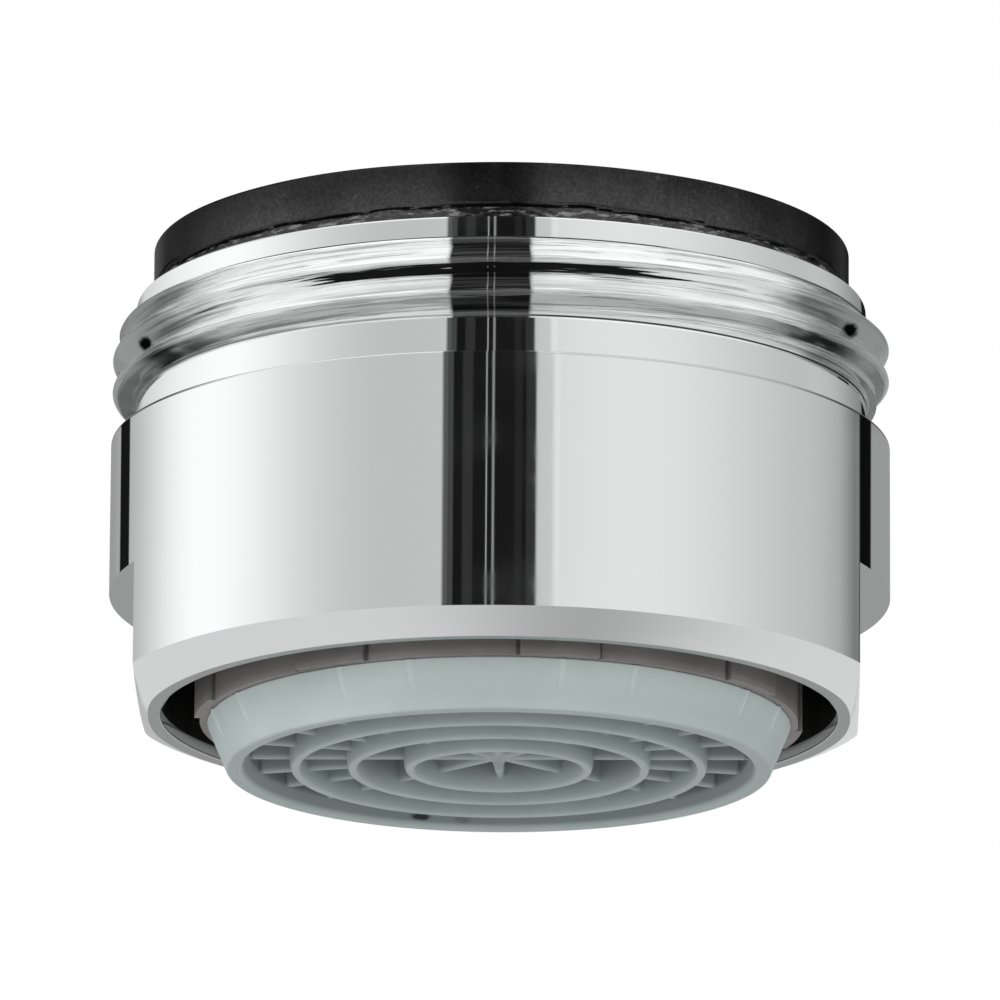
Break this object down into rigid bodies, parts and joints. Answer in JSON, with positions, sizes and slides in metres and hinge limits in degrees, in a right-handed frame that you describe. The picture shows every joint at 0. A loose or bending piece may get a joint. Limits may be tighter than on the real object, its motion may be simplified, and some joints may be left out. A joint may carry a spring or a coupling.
{
  "type": "tap aerator",
  "caption": "Tap aerator: a threaded metal sleeve with wrench flats, a rubber sealing washer on top and a plastic insert whose ringed outlet grid mixes air into the water.",
  "frame": {"origin": "on the axis, in the plane of the outlet's lower rim, where the part stands", "axes": "+Z along the axis from the outlet to the spout, +X square to one of the two wrench flats"},
  "size_m": [0.024, 0.024, 0.0164],
  "materials": {
    "housing": "bright chrome plate on turned brass",
    "sealing_washer": "matt black rubber, a little dusty",
    "filter_screen": "satin moulded plastic",
    "jet_plate": "satin moulded plastic",
    "insert_casing": "satin moulded plastic",
    "mixing_grid": "satin moulded plastic",
    "outlet_grid": "satin moulded plastic"
  },
  "bodies": {
    "root": {"housing": "housing", "sealing_washer": "sealing_washer", "filter_screen": "filter_screen", "jet_plate": "jet_plate", "insert_casing": "insert_casing", "upper_mixing_grid": "mixing_grid", "lower_mixing_grid": "mixing_grid", "outlet_grid": "outlet_grid"}
  },
  "joints": []
}
